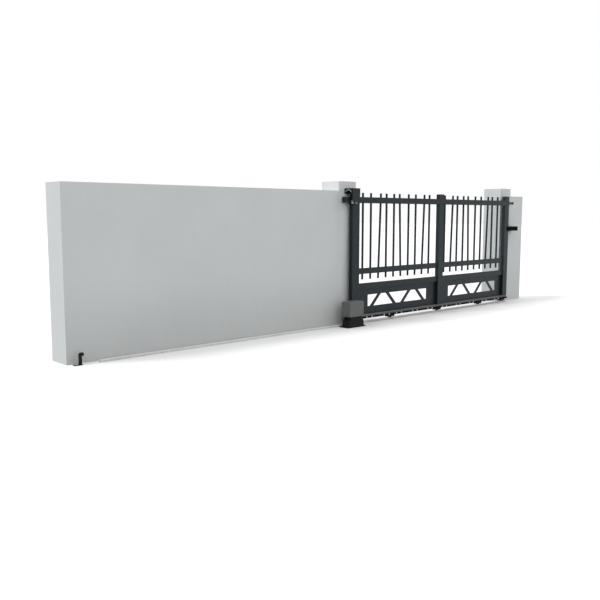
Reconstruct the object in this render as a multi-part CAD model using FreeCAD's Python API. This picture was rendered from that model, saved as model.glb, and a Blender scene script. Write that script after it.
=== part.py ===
import FreeCAD, Part
import math
import os

# Sliding driveway gate in front of a rendered wall, closed at rest.
# Millimetres. The origin is on the left pillar's base, midway through its depth. X runs along
# the wall towards the closing side, Y away from the driveway side, Z up.

# Walls and pillars
opening_width = 3484.0
left_pillar_left = -150.0
left_pillar_width = 316.0
right_pillar_width = 300.0
pillar_height = 1855.0
wall_thickness = 310.0
wall_height = 1735.0
left_wall_length = 3730.0
right_wall_length = 390.0

# How far cutting shapes reach past what they cut, and how near an edge lies to be picked
overcut = 1.0
near = 0.01

# Place of the leaf in front of the wall
leaf_gap = 40.0
leaf_overlap_left = 166.0
leaf_overlap_right = 105.0
leaf_tail = 135.0
leaf_travel = 3600.0

# Stiles and rails
left_stile_width = 136.0
stile_width = 120.0
middle_stile_shift = 30.0
stile_depth = 58.0
stile_head_height = 68.0
top_rail_depth = 64.0
top_rail_height = 78.0
top_rail_drop = 198.0
rail_height = 76.0
rail_depth = 40.0
rail_recess = 15.0
middle_rail_top = 728.0
panel_rail_top = 528.0
bottom_rail_top = 113.0
bottom_rail_height = 55.0
bottom_rail_wall = 4.0

# Bars
bar_width = 28.0
bar_sides = 8
bars_per_bay = 10
left_bay_first_bar = 96.5
left_bay_last_bar = 195.0
right_bay_first_bar = 61.5
right_bay_last_bar = 173.0
bar_above_rail = 56.0
bar_below_rail = 74.0
bar_lean = 41.0
bar_hole_clearance = 0.25
lean_of_left_bars = {2: 1.0, 5: -1.0, 8: 1.0}
lean_of_right_bars = {1: 1.0, 4: -1.0, 7: 1.0}

# Kick panels and their slanted bars
panel_recess = 42.0
panel_sheet = 4.0
left_cutout_start = 220.0
left_cutout_end = 223.5
right_cutout_start = 199.5
right_cutout_end = 180.0
cutout_bottom = 211.0
cutout_height = 154.0
cutout_corner = 6.0
slat_width = 36.0
slat_thickness = 6.0
slat_lap = 14.0
slats_per_panel = 4
slat_angle = 45.0

# Ground track and wheels
track_rod = 20.0
track_flat_width = 50.0
track_flat = 5.0
rod_seat = 1.0
track_left_margin = 90.0
track_right_margin = 120.0
running_gap = 0.3
rim_radius = 42.0
wheel_width = 22.0
wheel_sides = 28
axle_diameter = 14.0
axle_clearance = 0.05
wheel_end_offset = 117.0
wheel_inner_offset = 800.0
cheek_thickness = 4.0
cheek_length = 150.0
cheek_bottom = 33.0
cheek_top_gap = 4.0
cheek_corner = 18.0

# Rack and pinion
gear_module = 4.0
pressure_angle = 20.0
gear_backlash = 0.3
addendum_factor = 0.9
dedendum_factor = 1.15
pinion_teeth = 12
pinion_width = 16.0
pinion_side_gap = 5.0
rack_width = 22.0
rack_back = 13.0
rack_top = 84.0
rack_teeth_per_length = 80
shaft_diameter = 18.0
shaft_clearance = 0.05
shaft_seat = 45.0

# Drive unit
drive_x = -91.0
drive_gap = 8.0
drive_depth = 144.0
drive_width = 264.0
cover_bottom = 134.0
cover_height = 194.0
cover_corner = 8.0
cover_top_round = 14.0
cover_round_steps = 2
base_inset_left = 38.0
base_inset_right = 6.0
base_inset_front = 14.0
base_inset_back = 20.0
base_corner = 8.0
base_flare_left = 60.0
base_flare_right = 17.0
base_flare_front = 20.0
base_flare_back = 14.0
base_waist_height = 50.0
base_waist_flare = 0.22
base_plate_thickness = 10.0
base_plate_left = 46.0
base_plate_right = 27.0
base_plate_front = 16.0

# Top guide on the left pillar
guide_x = 18.0
guide_width = 140.0
guide_plate = 5.0
guide_above_rail = 108.0
guide_front_rise = 13.0
guide_side_rise = 42.0
guide_side_gap = 8.0
flange_gap = 5.0
flange_rise = 39.0
arch_radius = 54.0
arch_centre_rise = 30.0
strap_width = 14.0
strap_thickness = 3.0
strap_foot_rise = 60.0
roller_diameter = 32.0
roller_height = 104.0
roller_below_rail = 11.0
roller_sides = 20
roller_spacing = 66.0
roller_offset = -10.0
roller_pin = 12.0
roller_bore_clearance = 0.05
roller_nut_across = 19.0
roller_nut = 7.0
nut_sides = 6

# Keeper on the right pillar and what enters it
keeper_height = 70.0
keeper_bottom = 1170.0
keeper_length = 245.0
keeper_gap = 10.0
keeper_depth = 120.0
keeper_wall = 5.0
keeper_jaw = 41.0
keeper_buffer = 80.0
latch_depth = 24.0
latch_height = 36.0
latch_end_gap = 0.3
tongue_length = 118.0
tongue_diameter = 32.0
knob_size = 42.0
knob_length = 38.0

# End stop at the open end
stop_gap = 5.0
stop_post = 26.0
stop_height = 118.0
stop_foot_length = 80.0
stop_foot_width = 60.0
stop_foot = 6.0
stop_buffer_size = 34.0
stop_buffer_length = 22.0
stop_buffer_chamfer = 6.0

# Walls and leaf, worked out
V = FreeCAD.Vector
wall_front = -wall_thickness / 2
wall_back = wall_thickness / 2
opening_left = left_pillar_left + left_pillar_width
opening_right = opening_left + opening_width
right_pillar_end = opening_right + right_pillar_width

leaf_left = opening_left - leaf_overlap_left
leaf_right = opening_right + leaf_overlap_right
tail_left = leaf_left - leaf_tail
top_rail_back = wall_front - leaf_gap
top_rail_front = top_rail_back - top_rail_depth
leaf_y = (top_rail_back + top_rail_front) / 2
stile_front = leaf_y - stile_depth / 2
stile_back = leaf_y + stile_depth / 2
rail_front = stile_front + rail_recess
rail_back = rail_front + rail_depth
bar_y = (rail_front + rail_back) / 2
top_rail_top = pillar_height - top_rail_drop
top_rail_bottom = top_rail_top - top_rail_height
middle_rail_bottom = middle_rail_top - rail_height
panel_rail_bottom = panel_rail_top - rail_height
bottom_rail_bottom = bottom_rail_top - bottom_rail_height
left_stile_right = leaf_left + left_stile_width
right_stile_left = leaf_right - stile_width
middle_stile_left = (left_stile_right + right_stile_left - stile_width) / 2 + middle_stile_shift
middle_stile_right = middle_stile_left + stile_width
stile_spans = [(leaf_left, left_stile_right), (middle_stile_left, middle_stile_right),
               (right_stile_left, leaf_right)]
left_bay = (left_stile_right, middle_stile_left)
right_bay = (middle_stile_right, right_stile_left)
left_bar_row = (left_bay[0] + left_bay_first_bar, left_bay[1] - left_bay_last_bar, lean_of_left_bars)
right_bar_row = (right_bay[0] + right_bay_first_bar, right_bay[1] - right_bay_last_bar, lean_of_right_bars)
left_cutout = (left_bay[0] + left_cutout_start, left_bay[1] - left_cutout_end)
right_cutout = (right_bay[0] + right_cutout_start, right_bay[1] - right_cutout_end)
bar_bottom = middle_rail_bottom - bar_below_rail
bar_top = top_rail_top + bar_above_rail

# Wheels and track, worked out
rod_z = track_flat - rod_seat + track_rod / 2
groove_radius = rim_radius - wheel_width / 2
wheel_z = rod_z + (track_rod / 2 + running_gap) / math.sin(math.pi / 4) + groove_radius
axle_radius = axle_diameter / 2
channel_inside = stile_depth / 2 - bottom_rail_wall
wheel_places = [
    leaf_left + wheel_end_offset,
    leaf_left + wheel_inner_offset,
    (leaf_left + leaf_right) / 2,
    leaf_right - wheel_inner_offset,
    leaf_right - wheel_end_offset,
]

# Gear, worked out
tooth_pitch = math.pi * gear_module
addendum = addendum_factor * gear_module
dedendum = dedendum_factor * gear_module
pinion_radius = gear_module * pinion_teeth / 2
rack_root = rack_top - rack_back
rack_tip = rack_root - addendum - dedendum
pitch_z = rack_tip + addendum
pinion_z = pitch_z - pinion_radius
rack_back_face = stile_front
rack_front_face = stile_front - rack_width
teeth_before_pinion = math.floor((drive_x - tail_left) / tooth_pitch - 0.5)
rack_start = drive_x - (teeth_before_pinion + 0.5) * tooth_pitch
rack_teeth = math.floor((leaf_right - rack_start) / tooth_pitch)

# Drive and guide, worked out
drive_back = rack_front_face - drive_gap
drive_front = drive_back - drive_depth
drive_left = drive_x - drive_width / 2
drive_right = drive_x + drive_width / 2
roller_radius = roller_diameter / 2
roller_flats = roller_diameter * math.cos(math.pi / roller_sides)
front_roller_y = top_rail_front - running_gap - roller_radius
back_roller_y = top_rail_back + running_gap + roller_radius
guide_front = front_roller_y - roller_radius - guide_side_gap
guide_top = top_rail_top + guide_above_rail
guide_front_bottom = top_rail_bottom + guide_front_rise
guide_side_bottom = top_rail_top + guide_side_rise
flange_bottom = top_rail_bottom + flange_rise
flange_back = top_rail_front - flange_gap
arch_z = top_rail_top + arch_centre_rise
strap_radius = arch_radius + strap_width
strap_foot = top_rail_top + strap_foot_rise
roller_bottom = top_rail_bottom - roller_below_rail
guide_left = guide_x - guide_width / 2
guide_right = guide_x + guide_width / 2
keeper_left = leaf_right + keeper_gap
keeper_right = keeper_left + keeper_length
keeper_front = wall_front - keeper_depth
keeper_top = keeper_bottom + keeper_height
latch_z = keeper_bottom + keeper_height / 2
latch_end = keeper_right - keeper_wall - keeper_buffer - latch_end_gap
stop_face = tail_left - leaf_travel - stop_gap


def box(x0, x1, y0, y1, z0, z1):
    return Part.makeBox(x1 - x0, y1 - y0, z1 - z0, V(x0, y0, z0))


def cylinder(radius, start, end):
    axis = end - start
    return Part.makeCylinder(radius, axis.Length, start, axis)


def prism(sides, across, start, end):
    corner = across / 2 / math.cos(math.pi / sides)
    angles = [(number + 0.5) * 2 * math.pi / sides for number in range(sides)]
    points = [start + V(corner * math.cos(a), corner * math.sin(a), 0) for a in angles]
    return Part.Face(Part.makePolygon(points + points[:1])).extrude(end - start)


def flat_sided(rings):
    faces = [Part.Face(Part.makePolygon(ring + ring[:1])) for ring in (rings[0], rings[-1])]
    for low, high in zip(rings, rings[1:]):
        for number in range(len(low)):
            after = (number + 1) % len(low)
            corners = [low[number], low[after], high[after], high[number], low[number]]
            faces.append(Part.Face(Part.makePolygon(corners)))
    return Part.Solid(Part.makeShell(faces))


def together(first, others):
    return first.fuse(others).removeSplitter()


# Masonry
def left_wall():
    x0 = left_pillar_left - left_wall_length
    return box(x0, left_pillar_left, wall_front, wall_back, 0, wall_height)


def pillar(x0, x1):
    return box(x0, x1, wall_front, wall_back, 0, pillar_height)


def right_wall():
    x1 = right_pillar_end + right_wall_length
    return box(right_pillar_end, x1, wall_front, wall_back, 0, wall_height)


# Leaf frame
def stile(span):
    return box(span[0], span[1], stile_front, stile_back, bottom_rail_top, top_rail_bottom)


def stile_heads():
    head_top = top_rail_top + stile_head_height
    heads = [box(x0, x1, stile_front, stile_back, top_rail_top, head_top) for x0, x1 in stile_spans]
    return Part.Compound(heads)


def bar_ends(row):
    first, last, leans = row
    pitch = (last - first) / (bars_per_bay - 1)
    ends = []
    for number in range(bars_per_bay):
        x = first + number * pitch
        top_x = x + bar_lean * leans.get(number, 0.0)
        ends.append((V(x, bar_y, bar_bottom), V(top_x, bar_y, bar_top)))
    return ends


def bars(row):
    return Part.Compound([prism(bar_sides, bar_width, low, high) for low, high in bar_ends(row)])


def bar_holes():
    holes = []
    hole_width = bar_width + 2 * bar_hole_clearance
    for low, high in bar_ends(left_bar_row) + bar_ends(right_bar_row):
        holes.append(prism(bar_sides, hole_width, low, high))
    return holes


def top_rail():
    rail = box(tail_left, leaf_right, top_rail_front, top_rail_back, top_rail_bottom, top_rail_top)
    return rail.cut(bar_holes())


def bay_rail(bay, bottom):
    return box(bay[0], bay[1], rail_front, rail_back, bottom, bottom + rail_height)


def middle_rails():
    holes = bar_holes()
    rails = [bay_rail(bay, middle_rail_bottom).cut(holes) for bay in (left_bay, right_bay)]
    return Part.Compound(rails)


def panel_rails():
    return Part.Compound([bay_rail(bay, panel_rail_bottom) for bay in (left_bay, right_bay)])


# Kick panels
panel_front = stile_front + panel_recess
panel_back = panel_front + panel_sheet


def kick_panel(bay, cutout):
    sheet = box(bay[0], bay[1], panel_front, panel_back, bottom_rail_top, panel_rail_bottom)
    hole = box(cutout[0], cutout[1], panel_front - overcut, panel_back + overcut,
               cutout_bottom, cutout_bottom + cutout_height)
    corners = [edge for edge in hole.Edges if edge.BoundBox.YLength > panel_sheet]
    return sheet.cut(hole.makeChamfer(cutout_corner, corners))


def panel_slats(cutout):
    step = (cutout[1] - cutout[0]) / slats_per_panel
    middle_z = cutout_bottom + cutout_height / 2
    half_length = cutout_height / 2 / math.cos(math.radians(slat_angle)) + slat_lap
    slats = []
    for number in range(slats_per_panel):
        slat = box(-slat_width / 2, slat_width / 2, panel_back, panel_back + slat_thickness,
                   -half_length, half_length)
        side = 1 if number % 2 == 0 else -1
        slat.rotate(V(0, 0, 0), V(0, 1, 0), side * slat_angle)
        slat.translate(V(cutout[0] + (number + 0.5) * step, 0, middle_z))
        slats.append(slat)
    return Part.Compound(slats)


# Bottom rail, an upturned channel with closed ends
def bottom_rail():
    rail = box(tail_left, leaf_right, stile_front, stile_back, bottom_rail_bottom, bottom_rail_top)
    hollow = box(tail_left + bottom_rail_wall, leaf_right - bottom_rail_wall,
                 leaf_y - channel_inside, leaf_y + channel_inside,
                 bottom_rail_bottom - overcut, bottom_rail_top - bottom_rail_wall)
    return rail.cut(hollow)


# Wheels with a V groove that runs on the track's rod
def lower_corners(cheek):
    return [edge for edge in cheek.Edges
            if edge.BoundBox.ZMax < cheek_bottom + near and edge.BoundBox.XLength < near]


def wheel_carriage(x):
    cheek_top = bottom_rail_top - bottom_rail_wall - cheek_top_gap
    pieces = []
    for side in (-1, 1):
        outer = leaf_y + side * channel_inside
        inner = leaf_y + side * (channel_inside - cheek_thickness)
        cheek = box(x - cheek_length / 2, x + cheek_length / 2, min(outer, inner), max(outer, inner),
                    cheek_bottom, cheek_top)
        pieces.append(cheek.makeChamfer(cheek_corner, lower_corners(cheek)))
    end = channel_inside - cheek_thickness / 2
    axle = cylinder(axle_radius, V(x, leaf_y - end, wheel_z), V(x, leaf_y + end, wheel_z))
    return together(axle, pieces)


def wheel_carriages():
    return Part.Compound([wheel_carriage(x) for x in wheel_places])


def wheel_ring(radius, y):
    angles = [number * 2 * math.pi / wheel_sides for number in range(wheel_sides)]
    return [V(radius * math.cos(a), y, radius * math.sin(a)) for a in angles]


def wheel(x):
    half = wheel_width / 2
    rings = [wheel_ring(r, y) for r, y in ((rim_radius, -half), (groove_radius, 0), (rim_radius, half))]
    bore = cylinder(axle_radius + axle_clearance, V(0, -half - overcut, 0), V(0, half + overcut, 0))
    grooved = flat_sided(rings).cut(bore)
    grooved.translate(V(x, leaf_y, wheel_z))
    return grooved


def ground_track():
    x0 = wheel_places[0] - leaf_travel - track_left_margin
    x1 = wheel_places[-1] + track_right_margin
    flat = box(x0, x1, leaf_y - track_flat_width / 2, leaf_y + track_flat_width / 2, 0, track_flat)
    rod = cylinder(track_rod / 2, V(x0, leaf_y, rod_z), V(x1, leaf_y, rod_z))
    return together(flat, [rod])


# Rack and pinion
def rack_length(first_tooth, tooth_count):
    slope = math.tan(math.radians(pressure_angle))
    half_pitch_line = tooth_pitch / 4 - gear_backlash / 2
    half_tip = half_pitch_line - addendum * slope
    half_root = half_pitch_line + dedendum * slope
    x0 = rack_start + first_tooth * tooth_pitch
    x1 = x0 + tooth_count * tooth_pitch
    points = [V(x0, 0, rack_top), V(x0, 0, rack_root)]
    for number in range(tooth_count):
        x = x0 + (number + 0.5) * tooth_pitch
        points += [V(x - half_root, 0, rack_root), V(x - half_tip, 0, rack_tip),
                   V(x + half_tip, 0, rack_tip), V(x + half_root, 0, rack_root)]
    points += [V(x1, 0, rack_root), V(x1, 0, rack_top)]
    face = Part.Face(Part.makePolygon(points + points[:1]))
    length = face.extrude(V(0, rack_back_face - rack_front_face, 0))
    length.translate(V(0, rack_front_face, 0))
    return length


def involute_point(base_radius, radius, half_angle, side, middle):
    pressure = math.acos(min(1.0, base_radius / radius))
    angle = middle + side * (half_angle - (math.tan(pressure) - pressure))
    return V(radius * math.cos(angle), 0, radius * math.sin(angle))


def pinion():
    alpha = math.radians(pressure_angle)
    base_radius = pinion_radius * math.cos(alpha)
    root_radius = pinion_radius - dedendum
    tip_radius = pinion_radius + addendum
    thickness_angle = (tooth_pitch / 2 - gear_backlash) / (2 * pinion_radius)
    half_angle = thickness_angle + math.tan(alpha) - alpha
    step = 2 * math.pi / pinion_teeth
    flank_radii = (base_radius, (base_radius + tip_radius) / 2, tip_radius)
    flanks = []
    for number in range(pinion_teeth):
        middle = math.pi / 2 + (number + 0.5) * step
        for side in (-1, 1):
            curve = [involute_point(base_radius, r, half_angle, side, middle) for r in flank_radii]
            root = curve[0] * (root_radius / base_radius)
            flanks.append((root, curve))
    points = []
    for number in range(pinion_teeth):
        root_up, up = flanks[2 * number]
        root_down, down = flanks[2 * number + 1]
        points += [root_up] + up + down[::-1] + [root_down]
    back = rack_back_face - pinion_side_gap
    gear = Part.Face(Part.makePolygon(points + points[:1])).extrude(V(0, pinion_width, 0))
    gear.translate(V(drive_x, back - pinion_width, pinion_z))
    shaft = cylinder(shaft_diameter / 2, V(drive_x, back, pinion_z),
                     V(drive_x, drive_back - shaft_seat, pinion_z))
    return together(gear, [shaft])


# Drive unit beside the leaf's tail
def drive_base_plate():
    return box(drive_left - base_plate_left, drive_right + base_plate_right,
               drive_front - base_plate_front, drive_back, 0, base_plate_thickness)


def cut_corner_outline(x0, x1, y0, y1, corner, z):
    points = [(x0 + corner, y0), (x1 - corner, y0), (x1, y0 + corner), (x1, y1 - corner),
              (x1 - corner, y1), (x0 + corner, y1), (x0, y1 - corner), (x0, y0 + corner)]
    return [V(x, y, z) for x, y in points]


def base_outline(z, flare):
    return cut_corner_outline(drive_left + base_inset_left - flare * base_flare_left,
                              drive_right - base_inset_right + flare * base_flare_right,
                              drive_front + base_inset_front - flare * base_flare_front,
                              drive_back - base_inset_back + flare * base_flare_back,
                              base_corner, z)


def drive_base():
    waist_z = base_plate_thickness + base_waist_height
    outlines = [base_outline(base_plate_thickness, 1.0), base_outline(waist_z, base_waist_flare),
                base_outline(cover_bottom, 0.0)]
    bore = cylinder(shaft_diameter / 2 + shaft_clearance, V(drive_x, drive_back + overcut, pinion_z),
                    V(drive_x, drive_back - shaft_seat - overcut, pinion_z))
    return flat_sided(outlines).cut(bore)


def cover_outline(z, inset):
    return cut_corner_outline(drive_left + inset, drive_right - inset, drive_front + inset,
                              drive_back - inset, cover_corner, z)


def drive_cover():
    round_start = cover_bottom + cover_height - cover_top_round
    outlines = [cover_outline(cover_bottom, 0.0)]
    for step in range(cover_round_steps + 1):
        angle = math.pi / 2 * step / cover_round_steps
        outlines.append(cover_outline(round_start + cover_top_round * math.sin(angle),
                                      cover_top_round * (1 - math.cos(angle))))
    return flat_sided(outlines)


# Portal with rollers that holds the top rail upright
def arch(radius, x0, x1):
    return cylinder(radius, V(x0, leaf_y, arch_z), V(x1, leaf_y, arch_z))


def guide_side(x0, x1):
    plate = box(x0, x1, guide_front, wall_front - guide_plate, guide_side_bottom, guide_top - guide_plate)
    below = box(x0, x1, leaf_y - arch_radius, leaf_y + arch_radius,
                guide_side_bottom - overcut, max(arch_z, guide_side_bottom))
    return plate.cut([arch(arch_radius, x0, x1), below])


def arched_strap(x0, x1):
    below = box(x0, x1, leaf_y - strap_radius, leaf_y + strap_radius, arch_z - strap_radius, strap_foot)
    return arch(strap_radius, x0, x1).cut([arch(arch_radius, x0, x1), below])


def guide_bracket():
    back_plate_front = wall_front - guide_plate
    front = box(guide_left, guide_right, guide_front - guide_plate, guide_front,
                guide_front_bottom, guide_top)
    back = box(guide_left, guide_right, back_plate_front, wall_front, guide_side_bottom, guide_top)
    top = box(guide_left, guide_right, guide_front, back_plate_front, guide_top - guide_plate, guide_top)
    pieces = [back, top]
    for x in (guide_left, guide_right - guide_plate):
        pieces.append(guide_side(x, x + guide_plate))
        pieces.append(box(x, x + guide_plate, guide_front, flange_back, flange_bottom, guide_side_bottom))
    pieces.append(arched_strap(guide_left - strap_thickness, guide_left))
    pieces.append(arched_strap(guide_right, guide_right + strap_thickness))
    return together(front, pieces)


def roller_places():
    places = []
    for y in (front_roller_y, back_roller_y):
        for side in (-1, 1):
            places.append((guide_x + roller_offset + side * roller_spacing / 2, y))
    return places


def roller_pins():
    pins = []
    low = roller_bottom - running_gap
    for x, y in roller_places():
        shank = cylinder(roller_pin / 2, V(x, y, low), V(x, y, guide_top - guide_plate))
        nut = prism(nut_sides, roller_nut_across, V(x, y, low - roller_nut), V(x, y, low))
        pins.append(together(shank, [nut]))
    return Part.Compound(pins)


def roller(place):
    x, y = place
    body = prism(roller_sides, roller_flats, V(x, y, roller_bottom), V(x, y, roller_bottom + roller_height))
    bore_radius = roller_pin / 2 + roller_bore_clearance
    bore = cylinder(bore_radius, V(x, y, roller_bottom - overcut),
                    V(x, y, roller_bottom + roller_height + overcut))
    return body.cut(bore)


# Keeper box on the right pillar, latch and upper tongue on the leaf
def keeper():
    outer = box(keeper_left, keeper_right, keeper_front, wall_front, keeper_bottom, keeper_top)
    inner = box(keeper_left - overcut, keeper_right - keeper_wall,
                keeper_front + keeper_wall, wall_front - keeper_wall,
                keeper_bottom + keeper_wall, keeper_top - keeper_wall)
    jaw = box(keeper_left - keeper_jaw, keeper_left, keeper_front, keeper_front + keeper_wall,
              keeper_bottom, keeper_top)
    return together(outer.cut(inner), [jaw])


def keeper_buffer_pad():
    x1 = keeper_right - keeper_wall
    return box(x1 - keeper_buffer, x1, leaf_y - latch_depth, leaf_y + latch_depth,
               latch_z - latch_height / 2, latch_z + latch_height / 2)


def latch_bar():
    return box(leaf_right, latch_end, leaf_y - latch_depth / 2, leaf_y + latch_depth / 2,
               latch_z - latch_height / 2, latch_z + latch_height / 2)


def top_tongue():
    z = (top_rail_top + top_rail_bottom) / 2
    end = leaf_right + tongue_length
    pin = cylinder(tongue_diameter / 2, V(leaf_right, leaf_y, z), V(end, leaf_y, z))
    half = knob_size / 2
    knob = box(end, end + knob_length, leaf_y - half, leaf_y + half, z - half, z + half)
    return together(pin, [knob])


# End stop where the open leaf comes to rest
def end_stop():
    x1 = stop_face - stop_buffer_length
    x0 = x1 - stop_post
    post = box(x0, x1, leaf_y - stop_post / 2, leaf_y + stop_post / 2, stop_foot, stop_height)
    foot = box(x1 - stop_foot_length, x1, leaf_y - stop_foot_width / 2, leaf_y + stop_foot_width / 2,
               0, stop_foot)
    return together(post, [foot])


def stop_buffer():
    half = stop_buffer_size / 2
    block = box(stop_face - stop_buffer_length, stop_face, leaf_y - half, leaf_y + half,
                stop_height - stop_buffer_size, stop_height)
    front = [edge for edge in block.Edges if edge.BoundBox.XMin > stop_face - stop_buffer_chamfer / 2]
    return block.makeChamfer(stop_buffer_chamfer, front)


nodes = {
    "left_wall": left_wall(),
    "left_pillar": pillar(left_pillar_left, opening_left),
    "right_pillar": pillar(opening_right, right_pillar_end),
    "right_wall": right_wall(),
    "ground_track": ground_track(),
    "left_stile": stile(stile_spans[0]),
    "middle_stile": stile(stile_spans[1]),
    "right_stile": stile(stile_spans[2]),
    "stile_heads": stile_heads(),
    "top_rail": top_rail(),
    "middle_rails": middle_rails(),
    "panel_rails": panel_rails(),
    "bottom_rail": bottom_rail(),
    "left_bars": bars(left_bar_row),
    "right_bars": bars(right_bar_row),
    "left_kick_panel": kick_panel(left_bay, left_cutout),
    "right_kick_panel": kick_panel(right_bay, right_cutout),
    "left_panel_slats": panel_slats(left_cutout),
    "right_panel_slats": panel_slats(right_cutout),
    "wheel_carriages": wheel_carriages(),
    "latch_bar": latch_bar(),
    "top_tongue": top_tongue(),
    "drive_base_plate": drive_base_plate(),
    "drive_base": drive_base(),
    "drive_cover": drive_cover(),
    "drive_pinion": pinion(),
    "guide_bracket": guide_bracket(),
    "guide_pins": roller_pins(),
    "keeper": keeper(),
    "keeper_buffer": keeper_buffer_pad(),
    "end_stop": end_stop(),
    "stop_buffer": stop_buffer(),
}
for number, place in enumerate(wheel_places, 1):
    nodes["wheel_%d" % number] = wheel(place)
for number, place in enumerate(roller_places(), 1):
    nodes["guide_roller_%d" % number] = roller(place)
for number, first in enumerate(range(0, rack_teeth, rack_teeth_per_length), 1):
    count = min(rack_teeth_per_length, rack_teeth - first)
    nodes["rack_%d" % number] = rack_length(first, count)

os.makedirs("parts", exist_ok=True)
for name, shape in nodes.items():
    shape.exportStep("parts/%s.step" % name)
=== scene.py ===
import bmesh
import bpy
import math
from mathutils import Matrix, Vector


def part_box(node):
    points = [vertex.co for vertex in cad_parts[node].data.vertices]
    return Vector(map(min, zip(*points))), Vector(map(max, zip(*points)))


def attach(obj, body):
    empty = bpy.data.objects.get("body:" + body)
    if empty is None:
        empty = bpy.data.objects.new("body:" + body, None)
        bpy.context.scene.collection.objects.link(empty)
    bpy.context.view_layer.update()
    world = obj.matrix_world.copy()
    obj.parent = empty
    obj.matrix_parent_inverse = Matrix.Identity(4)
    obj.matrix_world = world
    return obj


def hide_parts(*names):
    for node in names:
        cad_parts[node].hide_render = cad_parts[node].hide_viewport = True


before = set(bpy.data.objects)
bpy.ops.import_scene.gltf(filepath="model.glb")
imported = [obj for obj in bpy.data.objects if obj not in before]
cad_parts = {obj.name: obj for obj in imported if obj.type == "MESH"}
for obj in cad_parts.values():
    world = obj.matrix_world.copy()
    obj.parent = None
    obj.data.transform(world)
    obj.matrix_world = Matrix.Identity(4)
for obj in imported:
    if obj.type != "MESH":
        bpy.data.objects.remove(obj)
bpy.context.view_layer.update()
scene = bpy.context.scene
scene.view_settings.view_transform = "Standard"
print("frame loaded:", len(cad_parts), "nodes")

# what counts as straight, as square to an axis, as touching, and which edges are shaded smooth
limits = {"straight": 0.99, "square": 0.1, "touching": 1e-5, "smoothUnder": 35}


# selecting, placing and finishing
def clearPick():
    if bpy.context.object and bpy.context.object.mode != "OBJECT":
        bpy.ops.object.mode_set(mode="OBJECT")
    bpy.ops.object.select_all(action="DESELECT")


def pick(*things):
    clearPick()
    for thing in things:
        thing.select_set(True)
    bpy.context.view_layer.objects.active = things[0]


def settle(thing):
    pick(thing)
    bpy.ops.object.transform_apply(location=True, rotation=True, scale=True)
    return thing


def addBlock(low, high):
    low, high = Vector(low), Vector(high)
    clearPick()
    bpy.ops.mesh.primitive_cube_add(size=1, location=(low + high) / 2)
    block = bpy.context.object
    block.scale = high - low
    return settle(block)


def addRod(start, end, radius, sides=24):
    start, end = Vector(start), Vector(end)
    along = end - start
    clearPick()
    bpy.ops.mesh.primitive_cylinder_add(
        vertices=sides, radius=radius, depth=along.length, location=(start + end) / 2,
        rotation=along.to_track_quat("Z", "Y").to_euler())
    return settle(bpy.context.object)


def boxMiddle(node):
    low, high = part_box(node)
    return (low + high) / 2


def openEdit(piece, kind, test):
    pick(piece)
    bpy.ops.object.mode_set(mode="EDIT")
    bpy.ops.mesh.select_mode(type=kind)
    bpy.ops.mesh.select_all(action="DESELECT")
    shape = bmesh.from_edit_mesh(piece.data)
    for part in {"EDGE": shape.edges, "FACE": shape.faces}[kind]:
        if test(part):
            part.select_set(True)
    bmesh.update_edit_mesh(piece.data)


def closeEdit():
    bpy.ops.object.mode_set(mode="OBJECT")


def extrudeBy(x, y, z):
    bpy.ops.mesh.extrude_region_move(TRANSFORM_OT_translate={"value": (x, y, z)})


def insetEach(thickness, depth=0):
    bpy.ops.mesh.inset(thickness=thickness, depth=depth, use_individual=True)


def splitAt(piece, height):
    openEdit(piece, "FACE", lambda face: True)
    bpy.ops.mesh.bisect(plane_co=(0, 0, height), plane_no=(0, 0, 1))
    closeEdit()


def runsAlong(edge, axis):
    step = edge.verts[1].co - edge.verts[0].co
    return abs(step[axis]) > limits["straight"] * step.length


def bothAt(edge, axis, value):
    return all(abs(v.co[axis] - value) < limits["touching"] for v in edge.verts)


def facesTo(face, axis, sign):
    return face.normal[axis] * sign > limits["straight"]


def endsAxis(face, axis):
    return abs(face.normal[axis]) > limits["straight"]


def flanksAxis(face, axis):
    return abs(face.normal[axis]) < limits["square"]


def bevelEdges(piece, test, width, steps):
    openEdit(piece, "EDGE", test)
    bpy.ops.mesh.bevel(offset=width, segments=steps, profile=0.5, affect="EDGES")
    closeEdit()
    return piece


def soften(piece, width, steps=2, limit=30):
    pick(piece)
    bpy.ops.object.modifier_add(type="BEVEL")
    bevel = piece.modifiers[-1]
    bevel.width, bevel.segments = width, steps
    bevel.limit_method, bevel.angle_limit = "ANGLE", math.radians(limit)
    bpy.ops.object.modifier_apply(modifier=bevel.name)
    return piece


def softBlock(low, high, width, steps=2):
    return soften(addBlock(low, high), width, steps)


def drop(thing):
    pick(thing)
    bpy.ops.object.delete()


def cutBy(piece, cutter):
    pick(piece)
    bpy.ops.object.modifier_add(type="BOOLEAN")
    cut = piece.modifiers[-1]
    cut.operation, cut.object = "DIFFERENCE", cutter
    bpy.ops.object.modifier_apply(modifier=cut.name)
    drop(cutter)
    return piece


def join(pieces):
    pick(*pieces)
    bpy.ops.object.join()
    return bpy.context.object


def copyTo(master, place, outward=(0, 0, 1)):
    pick(master)
    bpy.ops.object.duplicate()
    copy = bpy.context.object
    copy.rotation_euler = Vector(outward).to_track_quat("Z", "Y").to_euler()
    copy.location = place
    return settle(copy)


def ready(piece, name, body, slotName, finish, *nodes):
    pick(piece)
    bpy.ops.object.shade_smooth_by_angle(angle=math.radians(limits["smoothUnder"]))
    bpy.ops.object.modifier_add(type="WEIGHTED_NORMAL")  # keeps flats flat beside their rounded edges
    piece.modifiers[-1].keep_sharp = True
    bpy.ops.object.modifier_apply(modifier=piece.modifiers[-1].name)
    piece.name = name
    piece.data.name = name
    piece.data.materials.clear()
    piece.data.materials.append(finish)
    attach(piece, body)
    if nodes:
        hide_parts(*nodes)
    return piece


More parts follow.
